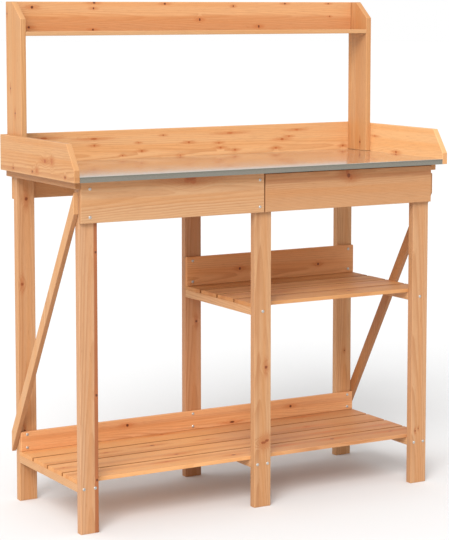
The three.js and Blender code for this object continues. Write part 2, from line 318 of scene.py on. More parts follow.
class BenchSizes(bpy.types.PropertyGroup):
    """Sizes of the bench's finer details."""

    edge_rounding: FloatProperty(
        name="Edge Rounding", description="Radius that a planed board's edges are eased to",
        default=0.0014, unit="LENGTH")
    slat_rounding: FloatProperty(
        name="Slat Rounding", description="Radius of a shelf slat's long edges",
        default=0.0007, unit="LENGTH")
    screw_head_radius: FloatProperty(
        name="Screw Head Radius", description="Radius of a pan head",
        default=0.0037, unit="LENGTH")
    screw_head_height: FloatProperty(
        name="Screw Head Height", description="How far a pan head stands proud",
        default=0.0017, unit="LENGTH")
    brad_radius: FloatProperty(
        name="Brad Radius", description="Radius of a brad's head in a side panel",
        default=0.0019, unit="LENGTH")
    sheet_bend: FloatProperty(
        name="Sheet Bend", description="Outer radius of the worktop sheet's front fold",
        default=0.0020, unit="LENGTH")


class BenchColours(bpy.types.PropertyGroup):
    """Colours of the bench's wood and metal."""

    early_wood: FloatVectorProperty(
        name="Early Wood", description="The pale part of a growth ring", subtype="COLOR",
        default=(0.60, 0.335, 0.160), min=0, max=1)
    late_wood: FloatVectorProperty(
        name="Late Wood", description="The dark line that ends a growth ring", subtype="COLOR",
        default=(0.46, 0.208, 0.080), min=0, max=1)
    knot: FloatVectorProperty(
        name="Knot", description="The core of a knot", subtype="COLOR",
        default=(0.115, 0.032, 0.012), min=0, max=1)
    zinc: FloatVectorProperty(
        name="Zinc", description="The galvanised worktop sheet", subtype="COLOR",
        default=(0.73, 0.69, 0.62), min=0, max=1)
    floor: FloatVectorProperty(
        name="Floor", description="The studio floor", subtype="COLOR",
        default=(0.76, 0.76, 0.76), min=0, max=1)


class StudioSettings(bpy.types.PropertyGroup):
    """The camera and the lights."""

    lens: FloatProperty(
        name="Lens", description="Focal length", default=123.4, unit="CAMERA")
    heading: FloatProperty(
        name="Heading", description="How far the camera looks to the right of straight on",
        default=math.radians(30.13), subtype="ANGLE")
    tilt: FloatProperty(
        name="Tilt", description="How far the camera looks down",
        default=math.radians(5.58), subtype="ANGLE")
    sky: FloatProperty(
        name="Sky", description="Strength of the even light from all round", default=0.75)
    key: FloatProperty(
        name="Key", description="Strength of the key light", default=2.4)
    fill: FloatProperty(
        name="Fill", description="Strength of the broad light from the left", default=0.9)


# ---------------------------------------------------------------- meshes

def new_object(name, data):
    """An object at the origin, in the scene."""
    piece = bpy.data.objects.new(name, data)
    bpy.context.scene.collection.objects.link(piece)
    return piece


def mesh_data(name, mesh):
    """What is in an edit mesh, as mesh data of its own."""
    data = bpy.data.meshes.new(name)
    mesh.to_mesh(data)
    mesh.free()
    return data


def round_edges(mesh, radius):
    """Eases every edge that turns by more than the sharp turn."""
    edges = [e for e in mesh.edges if e.is_manifold and e.calc_face_angle() > SHARP_TURN]
    bmesh.ops.bevel(mesh, geom=edges, offset=radius, segments=EASING_STEPS, profile=0.5,
                    affect="EDGES", clamp_overlap=True, harden_normals=False)


def planed_board(node, rounding):
    """A fresh square board that fills a CAD board's box, with eased edges."""
    low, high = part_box(node)
    mesh = bmesh.new()
    place = Matrix.Translation((low + high) / 2) @ Matrix.Diagonal((*(high - low), 1))
    bmesh.ops.create_cube(mesh, size=1, matrix=place)
    round_edges(mesh, min(rounding, min(high - low) / 4))
    return mesh_data(node + "_planed", mesh)


def planed_copy(node, rounding):
    """A copy of a CAD board whose outline isn't a plain box, with eased edges."""
    mesh = bmesh.new()
    mesh.from_mesh(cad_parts[node].data)
    bmesh.ops.remove_doubles(mesh, verts=mesh.verts, dist=SAME_PLACE)
    bmesh.ops.dissolve_limit(mesh, angle_limit=FLAT_TURN, verts=mesh.verts, edges=mesh.edges)
    round_edges(mesh, rounding)
    return mesh_data(node + "_planed", mesh)


def folded_outline(low, high, bend):
    """The sheet's section in Y and Z: along the top, round the front fold and down the skirt."""
    centre_y, centre_z = low.y + bend, high.z - bend
    outer, inner = [], []
    for i in range(FOLD_STEPS + 1):
        angle = math.pi / 2 + (math.pi / 2) * i / FOLD_STEPS
        for points, radius in ((outer, bend), (inner, bend - SHEET_WALL)):
            points.append((centre_y + radius * math.cos(angle),
                           centre_z + radius * math.sin(angle)))
    return ([(high.y, high.z)] + outer + [(low.y, low.z), (low.y + SHEET_WALL, low.z)]
            + inner[::-1] + [(high.y, high.z - SHEET_WALL)])


def smooth_by_angle(mesh):
    """Smooth shading, with the edges that turn by more than the smooth turn kept crisp."""
    mesh.normal_update()
    for face in mesh.faces:
        face.smooth = True
    for edge in mesh.edges:
        edge.smooth = edge.is_manifold and edge.calc_face_angle() < SMOOTH_TURN


def finish_piece(piece, body, nodes):
    """Says which body a piece rides on and hides the CAD nodes it stands for."""
    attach(piece, body)
    if nodes:
        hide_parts(*nodes)


# ---------------------------------------------------------------- node trees

def set_socket(tree, socket, value):
    """Links another node's socket to a socket, or gives it a plain value."""
    if isinstance(value, bpy.types.NodeSocket):
        tree.links.new(value, socket)
    else:
        socket.default_value = value


def add_node(tree, kind, settings=None, **inputs):
    """A node with its settings and inputs; an input is a value or another node's socket.

    Input names are the sockets' names with underscores, or n0, n1... for sockets by place."""
    node = tree.nodes.new(kind)
    for name, value in (settings or {}).items():
        setattr(node, name, value)
    for name, value in inputs.items():
        by_place = name[0] == "n" and name[1:].isdigit()
        key = int(name[1:]) if by_place else name.replace("_", " ")
        set_socket(tree, node.inputs[key], value)
    return node


def link_all(tree, sockets, values):
    """Links each named value to the socket of its name."""
    for name, value in values.items():
        tree.links.new(value, sockets[name])


def math_node(tree, operation, first, second=0.0, clamp=False):
    """The result of one sum on two numbers."""
    settings = {"operation": operation, "use_clamp": clamp}
    return add_node(tree, "ShaderNodeMath", settings, n0=first, n1=second).outputs[0]


def plus(tree, first, second):
    """Two numbers added."""
    return math_node(tree, "ADD", first, second)


def minus(tree, first, second):
    """One number less another."""
    return math_node(tree, "SUBTRACT", first, second)


def times(tree, first, second, clamp=False):
    """Two numbers multiplied."""
    return math_node(tree, "MULTIPLY", first, second, clamp)


def vector_node(tree, operation, *vectors, output="Vector", **inputs):
    """The result of one sum on vectors."""
    by_place = {f"n{i}": vector for i, vector in enumerate(vectors)}
    settings = {"operation": operation}
    node = add_node(tree, "ShaderNodeVectorMath", settings, **by_place, **inputs)
    return node.outputs[output]


def combine(tree, x=0.0, y=0.0, z=0.0):
    """A vector from its three parts."""
    return add_node(tree, "ShaderNodeCombineXYZ", X=x, Y=y, Z=z).outputs[0]


def split(tree, vector):
    """A vector's three parts."""
    return add_node(tree, "ShaderNodeSeparateXYZ", Vector=vector).outputs


def smooth_step(tree, value, low, high, to_low=0.0, to_high=1.0):
    """A value eased from to_low at low to to_high at high."""
    return add_node(tree, "ShaderNodeMapRange", {"interpolation_type": "SMOOTHSTEP"}, Value=value,
                    From_Min=low, From_Max=high, To_Min=to_low, To_Max=to_high).outputs[0]


def noise(tree, vector, scale, detail=2.0, roughness=0.5):
    """Smooth random values from 0 to 1 over a stretched space."""
    stretched = vector_node(tree, "MULTIPLY", vector, scale)
    return add_node(tree, "ShaderNodeTexNoise", Vector=stretched, Scale=1.0, Detail=detail,
                    Roughness=roughness).outputs[0]


def wander(tree, vector, scale, detail=2.0):
    """Smooth random values around nought."""
    return minus(tree, noise(tree, vector, scale, detail), 0.5)


def surface_normal(tree):
    """The way that the surface faces."""
    return add_node(tree, "ShaderNodeNewGeometry").outputs["Normal"]


def bump(tree, height, strength, distance):
    """A normal that makes a height stand out."""
    return add_node(tree, "ShaderNodeBump", Strength=strength, Distance=distance,
                    Height=height).outputs[0]


def grey(tree, value):
    """A grey as light as a value."""
    return add_node(tree, "ShaderNodeCombineColor", Red=value, Green=value,
                    Blue=value).outputs[0]


def shade(colour, shares):
    """A colour with its red, green and blue each times a share."""
    return [min(1.0, channel * share) for channel, share in zip(colour, shares)]


def mix_colour(tree, factor, first, second, blend="MIX"):
    """Two colours mixed by a factor."""
    settings = {"data_type": "RGBA", "blend_type": blend}
    node = add_node(tree, "ShaderNodeMix", settings, n0=factor)
    for place, value in ((6, first), (7, second)):
        plain = not isinstance(value, bpy.types.NodeSocket)
        set_socket(tree, node.inputs[place], (*value[:3], 1) if plain else value)
    return node.outputs[2]


def glaze(tree, colour, coat, mask, strength):
    """A colour with another over it where a mask lies, as strong as it says."""
    return mix_colour(tree, times(tree, mask, strength), colour, coat)


# ---------------------------------------------------------------- shared effects

NOWHERE = (0.0, 0.0, 0.0)
GROUPS = {}


def new_group(name, inputs, outputs):
    """A shader node group with named inputs and number outputs."""
    tree = bpy.data.node_groups.new(name, "ShaderNodeTree")
    kinds = {float: "NodeSocketFloat", tuple: "NodeSocketVector"}
    for label, default in inputs.items():
        socket = tree.interface.new_socket(
            name=label, in_out="INPUT", socket_type=kinds[type(default)])
        socket.default_value = default
    for label in outputs:
        tree.interface.new_socket(name=label, in_out="OUTPUT", socket_type=kinds[float])
    given = tree.nodes.new("NodeGroupInput")
    result = tree.nodes.new("NodeGroupOutput")
    return tree, given.outputs, result.inputs


def use_group(tree, maker, **inputs):
    """A node of a group, which is built once for every material, with its inputs set."""
    if maker not in GROUPS:
        GROUPS[maker] = maker()
    return add_node(tree, "ShaderNodeGroup", {"node_tree": GROUPS[maker]}, **inputs).outputs


def grain_group():
    """Growth rings of a log, cut by a board whose length is X, width Y and thickness Z."""
    tree, given, result = new_group("Fir grain", {
        "Position": NOWHERE, "Swirl": 0.0, "Ring Spacing": 0.0028, "Pith Across": 0.05,
        "Pith Deep": 0.04, "Taper": 0.012, "Waviness": 0.004,
    }, ("Late Wood", "Figure", "Fibre", "Fleck", "Height"))
    place = given["Position"]
    along, across, deep = split(tree, place)
    wave = times(tree, wander(tree, place, WAVE_SCALE), given["Waviness"])
    drift = times(tree, wander(tree, place, DRIFT_SCALE, 1.0), 0.0012)
    squares = [
        math_node(tree, "POWER", minus(tree, across, given["Pith Across"]), 2.0),
        math_node(tree, "POWER", minus(tree, deep, given["Pith Deep"]), 2.0)]
    radius = math_node(tree, "SQRT", plus(tree, *squares))
    for shift in (times(tree, along, given["Taper"]), wave, drift, given["Swirl"]):
        radius = plus(tree, radius, shift)
    turn = math_node(tree, "FRACT", math_node(tree, "DIVIDE", radius, given["Ring Spacing"]))
    rise = smooth_step(tree, turn, 0.25, 0.88)
    fall = smooth_step(tree, turn, 0.92, 1.0, 1.0, 0.0)
    uneven = noise(tree, place, RING_STRENGTH_SCALE, 1.0)
    strength = smooth_step(tree, uneven, 0.25, 0.75, 0.35, 1.0)
    ring = times(tree, times(tree, rise, fall), strength)
    fibre = noise(tree, place, FIBRE_SCALE, 3.0, 0.6)
    figure = noise(tree, place, FIGURE_SCALE, 3.0, 0.55)
    fleck = smooth_step(tree, noise(tree, place, FLECK_SCALE), 0.63, 0.74)
    height = plus(tree, times(tree, ring, 0.6), times(tree, fibre, 0.5))
    height = minus(tree, height, times(tree, fleck, 0.3))
    link_all(tree, result, {
        "Late Wood": ring, "Figure": figure, "Fibre": fibre, "Fleck": fleck, "Height": height})
    return tree


def knot_group():
    """One knot: a branch that runs through a board along its thickness, with a flame round it."""
    tree, given, result = new_group("Fir knot", {
        "Position": NOWHERE, "Centre": NOWHERE, "Core Shape": (1.0, 1.0, 0.0),
        "Flame Shape": (0.4, 1.0, 0.0), "Radius": 0.004, "Depth": 1.0, "Core So Far": 0.0,
        "Flame So Far": 0.0, "Swirl So Far": 0.0,
    }, ("Core", "Flame", "Swirl"))
    away = vector_node(tree, "SUBTRACT", given["Position"], given["Centre"])
    ragged = wander(tree, away, KNOT_EDGE_SCALE)
    to_core, to_flame = (
        math_node(tree, "DIVIDE", vector_node(
            tree, "LENGTH", vector_node(tree, "MULTIPLY", away, given[shape]), output="Value"),
            given["Radius"])
        for shape in ("Core Shape", "Flame Shape"))
    near = plus(tree, to_core, times(tree, ragged, 0.9))
    core = times(tree, smooth_step(tree, near, 0.65, 1.1, 1.0, 0.0), given["Depth"])
    far = plus(tree, to_flame, times(tree, ragged, 1.6))
    flame = smooth_step(tree, far, 0.5, 2.6, 1.0, 0.0)
    bend = times(tree, smooth_step(tree, to_core, 0.3, 5.0, 1.0, 0.0), given["Radius"])
    link_all(tree, result, {
        "Core": math_node(tree, "MAXIMUM", core, given["Core So Far"]),
        "Flame": math_node(tree, "MAXIMUM", flame, given["Flame So Far"]),
        "Swirl": plus(tree, bend, given["Swirl So Far"])})
    return tree


def cut_faces_group():
    """Masks of the faces that a saw cut across the grain, and of eased edges and corners."""
    tree, given, result = new_group(
        "Cut faces", {"Grain Axis": (1.0, 0.0, 0.0)}, ("End Grain", "Eased Edge"))
    normal = surface_normal(tree)
    facing = vector_node(tree, "DOT_PRODUCT", normal, given["Grain Axis"], output="Value")
    turned = math_node(tree, "ABSOLUTE", facing)
    x, y, z = split(tree, vector_node(tree, "ABSOLUTE", normal))
    squarest = math_node(tree, "MAXIMUM", math_node(tree, "MAXIMUM", x, y), z)
    link_all(tree, result, {
        "End Grain": smooth_step(tree, turned, 0.6, 0.95),
        "Eased Edge": smooth_step(tree, squarest, 0.90, 0.99, 1.0, 0.0)})
    return tree


def in_units(tree, place, unit):
    """A place counted in units of a size."""
    return vector_node(tree, "SCALE", place, Scale=math_node(tree, "DIVIDE", 1.0, unit))


def handling_group():
    """Soft smudges and fine dust, as on any piece that has been handled and stood outside."""
    tree, given, result = new_group(
        "Handling", {"Position": NOWHERE, "Size": 0.08}, ("Smudge", "Speck"))
    scaled = in_units(tree, given["Position"], given["Size"])
    broad = noise(tree, scaled, (1.0, 1.0, 1.0), 4.0, 0.6)
    fine = noise(tree, given["Position"], (900.0, 900.0, 900.0), 1.0)
    link_all(tree, result, {
        "Smudge": smooth_step(tree, broad, 0.35, 0.7),
        "Speck": smooth_step(tree, fine, 0.62, 0.75)})
    return tree


def spangle_group():
    """The crystals of a hot-dip zinc coat."""
    tree, given, result = new_group(
        "Zinc spangle", {"Position": NOWHERE, "Crystal Size": 0.011}, ("Tone", "Edge"))
    wobble = noise(tree, given["Position"], (140.0, 140.0, 140.0))
    scaled = in_units(tree, given["Position"], given["Crystal Size"])
    place = vector_node(tree, "ADD", scaled, combine(tree, wobble, wobble, wobble))
    cells, rims = (
        add_node(tree, "ShaderNodeTexVoronoi", {"feature": feature}, Vector=place, Scale=1.0,
                 Randomness=1.0).outputs
        for feature in ("F1", "DISTANCE_TO_EDGE"))
    link_all(tree, result, {
        "Tone": add_node(tree, "ShaderNodeSeparateColor", Color=cells["Color"]).outputs[0],
        "Edge": smooth_step(tree, rims["Distance"], 0.0, 0.12, 1.0, 0.0)})
    return tree


# ---------------------------------------------------------------- materials

def new_material(name):
    """An empty material, its Principled shader, its tree and the place on the piece."""
    material = bpy.data.materials.new(name)
    material.use_nodes = True
    tree = material.node_tree
    tree.nodes.clear()
    shader = tree.nodes.new("ShaderNodeBsdfPrincipled")
    output = tree.nodes.new("ShaderNodeOutputMaterial")
    tree.links.new(shader.outputs[0], output.inputs["Surface"])
    place = add_node(tree, "ShaderNodeTexCoord").outputs["Object"]
    return material, tree, shader, place


def board_position(tree, place, axes, middle):
    """The place from the board's middle, along its own axes of length, width and thickness."""
    parts = split(tree, place)
    turned = combine(tree, *(parts[axis] for axis in axes))
    return vector_node(tree, "ADD", turned, [-middle[axis] for axis in axes])


def chain_knots(tree, local, size, knots):
    """The joint core, flame and swirl of a board's knots, in the board's own axes."""
    so_far = {"Core": 0.0, "Flame": 0.0, "Swirl": 0.0}
    for along, across, radius, stretch, *paler in knots:
        outputs = use_group(
            tree, knot_group, Position=local,
            Centre=((along - 0.5) * size[0], (across - 0.5) * size[1], 0.0),
            Core_Shape=(1 / stretch, 1.0, 0.0), Flame_Shape=(0.3 / stretch, 1.0, 0.0),
            Radius=radius * MM, Depth=paler[0] if paler else 1.0, Core_So_Far=so_far["Core"],
            Flame_So_Far=so_far["Flame"], Swirl_So_Far=so_far["Swirl"])
        so_far = {name: outputs[name] for name in so_far}
    return so_far


def part_planks(tree, whole):
    """Each slat's wood at a place of its own in the grain, and a mask of the slats' faces that
    look forward into a gap, where shade is painted."""
    plank = add_node(tree, "ShaderNodeAttribute", {"attribute_name": "plank"}).outputs["Fac"]
    step = combine(tree, *(times(tree, plank, part) for part in SLAT_STEP))
    turned = math_node(tree, "MINIMUM", split(tree, surface_normal(tree))["Y"], 0.0)
    forward = smooth_step(tree, math_node(tree, "ABSOLUTE", turned), 0.35, 0.8)
    behind_another = math_node(tree, "MINIMUM", plank, 1.0)
    return vector_node(tree, "ADD", whole, step), times(tree, forward, behind_another)


def heart_stripe(tree, local, size, middle, breadth, strength):
    """A mask of the darker heartwood along a board."""
    half = breadth * size[1]
    away = minus(tree, split(tree, local)["Y"], (middle - 0.5) * size[1])
    away = plus(tree, away, times(tree, wander(tree, local, HEART_SCALE, 3.0), half))
    share = math_node(tree, "DIVIDE", math_node(tree, "ABSOLUTE", away), half)
    return smooth_step(tree, share, 0.7, 1.2, strength, 0.0)


def end_shade_mask(tree, whole, local, size, begins, done, strength):
    """A mask of painted shade that grows towards the end of a board that lies under the middle
    shelf.
    """
    uneven = times(tree, wander(tree, local, END_SHADE_SCALE), 0.25 * size[0])
    along = plus(tree, split(tree, whole)["X"], uneven)
    return smooth_step(
        tree, along, (begins - 0.5) * size[0], (done - 0.5) * size[0], 0.0, strength)


def underside_shade_mask(tree, local, strength):
    """A streaked mask of painted shade on the faces that look down."""
    down = times(tree, split(tree, surface_normal(tree))["Z"], -1.0)
    uneven = noise(tree, local, UNDERSIDE_SCALE)
    return times(tree, smooth_step(tree, down, 0.15, 0.32, 0.0, strength),
                 smooth_step(tree, uneven, 0.35, 0.65, 0.84, 1.0))


def fir_material(name, axes, low, high, knots, planks=False):
    """Planed fir: rings cut from a log of its own, knots, fibres, end grain and light handling."""
    colours = bpy.context.scene.bench_colours
    dice = random.Random(name)
    material, tree, shader, place = new_material(name + "_fir")
    size = [high[axis] - low[axis] for axis in axes]
    local = whole = board_position(tree, place, axes, (low + high) / 2)
    knot = chain_knots(tree, whole, size, knots)
    if planks:
        local, gap_shade_mask = part_planks(tree, whole)
    seat = [dice.uniform(2, 9) for _ in range(3)]
    grain = use_group(
        tree, grain_group, Position=local, Swirl=knot["Swirl"],
        Ring_Spacing=dice.uniform(*RING_SPACING),
        Pith_Across=dice.uniform(*PITH_ACROSS) * size[1],
        Pith_Deep=dice.choice((-1, 1)) * dice.uniform(*PITH_DEEP),
        Taper=dice.uniform(*TAPER), Waviness=dice.uniform(*WAVINESS))
    handled = vector_node(tree, "ADD", local, seat)
    handling = use_group(tree, handling_group, Position=handled, Size=0.16)
    grain_axis = [1.0 if axis == axes[0] else 0.0 for axis in range(3)]
    faces = use_group(tree, cut_faces_group, Grain_Axis=grain_axis)

    # the board's tone, which holds painted light or painted shade for some boards
    tone = TONES_AND_PAINTED_LIGHT.get(name, (1, 1, 1))
    early, late = shade(colours.early_wood, tone), shade(colours.late_wood, tone)
    colour = glaze(tree, early, late, grain["Late Wood"], 0.78)
    figure = smooth_step(tree, grain["Figure"], 0.32, 0.72)
    colour = glaze(tree, colour, shade(early, AMBER), figure, 0.75)
    if name in HEARTWOOD:
        heart = heart_stripe(tree, local, size, *HEARTWOOD[name])
        colour = mix_colour(tree, heart, colour, shade(late, HEART))
    # painted shade: the lower slats turn browner towards the end that lies under the middle shelf
    if name in PAINTED_END_SHADE:
        end_shade = end_shade_mask(tree, whole, local, size, *PAINTED_END_SHADE[name])
        end_shaded = mix_colour(tree, 1.0, colour, END_SHADE_SHARES, "MULTIPLY")
        colour = mix_colour(tree, end_shade, colour, end_shaded)
    # painted shade on the braces' faces that look down
    if name in PAINTED_UNDERSIDE_SHADE:
        underside_shade = underside_shade_mask(tree, local, PAINTED_UNDERSIDE_SHADE[name])
        colour = mix_colour(tree, underside_shade, colour, shade(late, UNDERSIDE_SHADE_SHARES))
    fibre = smooth_step(tree, grain["Fibre"], 0.3, 0.75, 1.05, 0.88)
    colour = mix_colour(tree, 1.0, colour, grey(tree, fibre), "MULTIPLY")
    colour = glaze(tree, colour, shade(late, RESIN), grain["Fleck"], 0.45)
    colour = glaze(tree, colour, shade(late, FLAME), knot["Flame"], 0.62)
    core = times(tree, knot["Core"], 1.5, clamp=True)
    colour = mix_colour(tree, core, colour, shade(late, EMBER))
    black = smooth_step(tree, knot["Core"], 0.45, 1.0, 0.0, 0.94)
    colour = mix_colour(tree, black, colour, colours.knot)
    colour = glaze(tree, colour, shade(late, SAWN_END), faces["End Grain"], 0.35)
    colour = glaze(tree, colour, shade(early, WORN_EDGE), faces["Eased Edge"], 0.45)
    if planks:
        # painted shade on the faces that look into the gaps between the slats
        colour = glaze(tree, colour, shade(late, GAP_SHADE_SHARES), gap_shade_mask, 0.65)
    colour = glaze(tree, colour, DUST, handling["Speck"], 0.08)

    rough = smooth_step(tree, handling["Smudge"], 0.0, 1.0, 0.50, 0.60)
    rough = plus(tree, rough, times(tree, faces["End Grain"], 0.22))
    rough = minus(tree, rough, times(tree, knot["Core"], 0.15))
    height = minus(tree, grain["Height"], knot["Core"])
    link_all(tree, shader.inputs, {
        "Base Color": colour, "Roughness": rough, "Normal": bump(tree, height, 0.35, 0.25 * MM)})
    shader.inputs["Specular IOR Level"].default_value = 0.3
    return material


def zinc_material():
    """A dull galvanised coat with faint crystals, wiping marks and darker scuffs."""
    zinc = bpy.context.scene.bench_colours.zinc
    material, tree, shader, place = new_material("galvanised_zinc")
    spangle = use_group(tree, spangle_group, Position=place, Crystal_Size=0.009)
    handling = use_group(tree, handling_group, Position=place, Size=0.25)
    faces = use_group(tree, cut_faces_group, Grain_Axis=(0.0, 1.0, 0.0))
    streak = noise(tree, place, (3.0, 260.0, 260.0), 3.0, 0.6)
    bright = times(tree, smooth_step(tree, spangle["Tone"], 0.0, 1.0, 0.965, 1.035),
                   smooth_step(tree, streak, 0.3, 0.7, 0.985, 1.015))
    colour = mix_colour(tree, 1.0, zinc, grey(tree, bright), "MULTIPLY")
    colour = glaze(tree, colour, shade(zinc, (0.75,) * 3), spangle["Edge"], 0.15)
    colour = glaze(tree, colour, shade(zinc, (0.80,) * 3), handling["Smudge"], 0.25)
    # painted dark reflection on the faces that look front and back, chiefly the fold's front skirt
    colour = mix_colour(tree, faces["End Grain"], colour, SKIRT_DARK_REFLECTION)
    rough = smooth_step(tree, spangle["Tone"], 0.0, 1.0, 0.10, 0.13)
    rough = plus(tree, rough, times(tree, handling["Smudge"], 0.05))
    rough = plus(tree, rough, times(tree, handling["Speck"], 0.06))
    height = plus(tree, times(tree, spangle["Edge"], 0.3), times(tree, streak, 0.2))
    link_all(tree, shader.inputs, {
        "Base Color": colour, "Roughness": rough, "Normal": bump(tree, height, 0.04, 0.1 * MM)})
    shader.inputs["Metallic"].default_value = 0.88
    return material


def steel_material(name, colour, rough_low, rough_high):
    """Plated steel with a faint smudged finish."""
    material, tree, shader, place = new_material(name)
    handling = use_group(tree, handling_group, Position=place, Size=0.006)
    tarnish = shade(colour, (0.62,) * 3)
    link_all(tree, shader.inputs, {
        "Base Color": glaze(tree, colour, tarnish, handling["Smudge"], 0.5),
        "Roughness": smooth_step(tree, handling["Smudge"], 0.0, 1.0, rough_low, rough_high),
        "Normal": bump(tree, handling["Speck"], 0.2, 0.1 * MM)})
    shader.inputs["Metallic"].default_value = 0.75
    return material


def plywood_material(low, high):
    """Thin poplar plywood with a pale, plain face."""
    material, tree, shader, place = new_material("poplar_plywood")
    local = board_position(tree, place, FLAT_X, (low + high) / 2)
    grain = use_group(tree, grain_group, Position=local, Ring_Spacing=0.012,
                      Pith_Across=0.3, Pith_Deep=0.02, Taper=0.05, Waviness=0.05)
    handling = use_group(tree, handling_group, Position=local, Size=0.12)
    colour = glaze(tree, POPLAR_EARLY, POPLAR_LATE, grain["Late Wood"], 0.35)
    link_all(tree, shader.inputs, {
        "Base Color": glaze(tree, colour, POPLAR_FIGURE, grain["Figure"], 0.4),
        "Roughness": smooth_step(tree, handling["Smudge"], 0.0, 1.0, 0.62, 0.74),
        "Normal": bump(tree, grain["Height"], 0.3, 0.2 * MM)})
    return material


def floor_material():
    """A plain pale studio floor."""
    material, tree, shader, place = new_material("studio_floor")
    pale = bpy.context.scene.bench_colours.floor
    cloud = smooth_step(tree, noise(tree, place, (0.7, 0.7, 0.7)), 0.3, 0.7)
    colour = glaze(tree, pale, shade(pale, (0.99,) * 3), cloud, 0.3)
    tree.links.new(colour, shader.inputs["Base Color"])
    shader.inputs["Roughness"].default_value = 1.0
    shader.inputs["Specular IOR Level"].default_value = 0.0
    return material


# ---------------------------------------------------------------- geometry nodes

def new_geometry_tree(name, inputs):
    """A Geometry Nodes tree with named inputs, and a table of their identifiers."""
    tree = bpy.data.node_groups.new(name, "GeometryNodeTree")
    for in_out in ("INPUT", "OUTPUT"):
        tree.interface.new_socket(
            name="Geometry", in_out=in_out, socket_type="NodeSocketGeometry")
    names = {}
    for label, kind in inputs.items():
        socket = tree.interface.new_socket(
            name=label, in_out="INPUT", socket_type="NodeSocket" + kind)
        names[label] = socket.identifier
    given = tree.nodes.new("NodeGroupInput")
    result = tree.nodes.new("NodeGroupOutput")
    return tree, names, given.outputs, result.inputs


def grow(name, seed_data, tree, names, values):
    """Runs a Geometry Nodes tree on a seed mesh and returns the result as a plain object."""
    seed = new_object(name + "_seed", seed_data)
    modifier = seed.modifiers.new("Grow", "NODES")
    modifier.node_group = tree
    for label, value in values.items():
        modifier[names[label]] = value
    shapes = bpy.context.evaluated_depsgraph_get()
    shapes.update()
    data = bpy.data.meshes.new_from_object(seed.evaluated_get(shapes))
    data.name = name
    seed.modifiers.clear()
    bpy.data.objects.remove(seed)
    if len(data.vertices) == 0:
        raise RuntimeError(f"{name} came out empty")
    return new_object(name, data)


def slat_tree():
    """A row of eased slats along X, one behind the other along Y."""
    tree, names, given, result = new_geometry_tree("Slat row", {
        "Count": "Int", "Start": "Vector", "Length": "Float", "Width": "Float",
        "Thickness": "Float", "Pitch": "Float", "Rounding": "Float", "Material": "Material"})

    def add(kind, settings=None, **inputs):
        return add_node(tree, "GeometryNode" + kind, settings, **inputs).outputs[0]

    section = add("CurvePrimitiveQuadrilateral", Width=given["Width"], Height=given["Thickness"])
    eased = add("FilletCurve", {"mode": "POLY"}, Curve=section, Count=4,
                Radius=given["Rounding"], Limit_Radius=True)
    line = add("CurvePrimitiveLine", End=combine(tree, given["Length"]))
    slat = add("CurveToMesh", Curve=line, Profile_Curve=eased, Fill_Caps=True)
    row = add("MeshLine", {"mode": "OFFSET"}, Count=given["Count"],
              Start_Location=given["Start"], Offset=combine(tree, y=given["Pitch"]))
    placed = add("InstanceOnPoints", Points=row, Instance=slat)
    numbered = add("StoreNamedAttribute", {"data_type": "FLOAT", "domain": "INSTANCE"},
                   Geometry=placed, Name="plank", Value=add("InputIndex"))
    real = add("RealizeInstances", Geometry=numbered)
    flat = add("SetShadeSmooth", Geometry=real, Shade_Smooth=False)
    done = add("SetMaterial", Geometry=flat, Material=given["Material"])
    tree.links.new(done, result["Geometry"])
    return tree, names


def screw_tree():
    """Pan heads with a cross recess on the seed's points, each facing its point's way."""
    tree, names, given, result = new_geometry_tree("Screw heads", {
        "Radius": "Float", "Height": "Float", "Recess": "Float", "Seed": "Int",
        "Material": "Material"})
    radius, height, recess = given["Radius"], given["Height"], given["Recess"]

    def add(kind, settings=None, **inputs):
        return add_node(tree, kind, settings, **inputs).outputs[0]

    ball = add("GeometryNodeMeshUVSphere", Segments=20, Rings=10, Radius=radius)
    flatten = combine(tree, 1.0, 1.0, math_node(tree, "DIVIDE", height, radius))
    head = add("GeometryNodeTransform", Geometry=ball, Scale=flatten)
    # what lies below the board's face, then the two arms of the cross
    broad = times(tree, radius, 3.0)
    reach, deep = times(tree, radius, 1.05), times(tree, height, 1.1)
    below = combine(tree, z=times(tree, height, -1.0))
    lift = combine(tree, z=height)
    for size, place in (
            (combine(tree, broad, broad, times(tree, height, 2.0)), below),
            (combine(tree, reach, recess, deep), lift),
            (combine(tree, recess, reach, deep), lift)):
        block = add("GeometryNodeTransform", Geometry=add("GeometryNodeMeshCube", Size=size),
                    Translation=place)
        cut = {"operation": "DIFFERENCE", "solver": "EXACT"}
        head = add("GeometryNodeMeshBoolean", cut, n0=head, n1=block)
    facing = add("GeometryNodeInputNamedAttribute", {"data_type": "FLOAT_VECTOR"}, Name="facing")
    aimed = add("FunctionNodeAlignRotationToVector", {"axis": "Z"}, Vector=facing)
    spin = add_node(tree, "FunctionNodeRandomValue", {"data_type": "FLOAT"}, Seed=given["Seed"],
                    n3=math.pi).outputs[1]
    about = add("FunctionNodeAxisAngleToRotation", Axis=(0, 0, 1), Angle=spin)
    turned = add("FunctionNodeRotateRotation", {"rotation_space": "LOCAL"}, Rotation=aimed,
                 Rotate_By=about)
    placed = add("GeometryNodeInstanceOnPoints", Points=given["Geometry"], Instance=head,
                 Rotation=turned)
    real = add("GeometryNodeRealizeInstances", Geometry=placed)
    done = add("GeometryNodeSetMaterial", Geometry=real, Material=given["Material"])
    tree.links.new(done, result["Geometry"])
    return tree, names


def facing_points(name, places):
    """A mesh of loose points that each keep the way they face."""
    data = bpy.data.meshes.new(name)
    data.from_pydata([place for place, facing in places], [], [])
    data.attributes.new("facing", "FLOAT_VECTOR", "POINT")
    for item, (place, facing) in zip(data.attributes["facing"].data, places):
        item.vector = facing
    return data


# ---------------------------------------------------------------- places of the fixings

def middle_of(node):
    """The middle of a node's box."""
    low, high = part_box(node)
    return (low + high) / 2


def heads_at(x, y, heights, facing):
    """A head at each height, and the way that it faces."""
    return [(Vector((x, y, z)), facing) for z in heights]


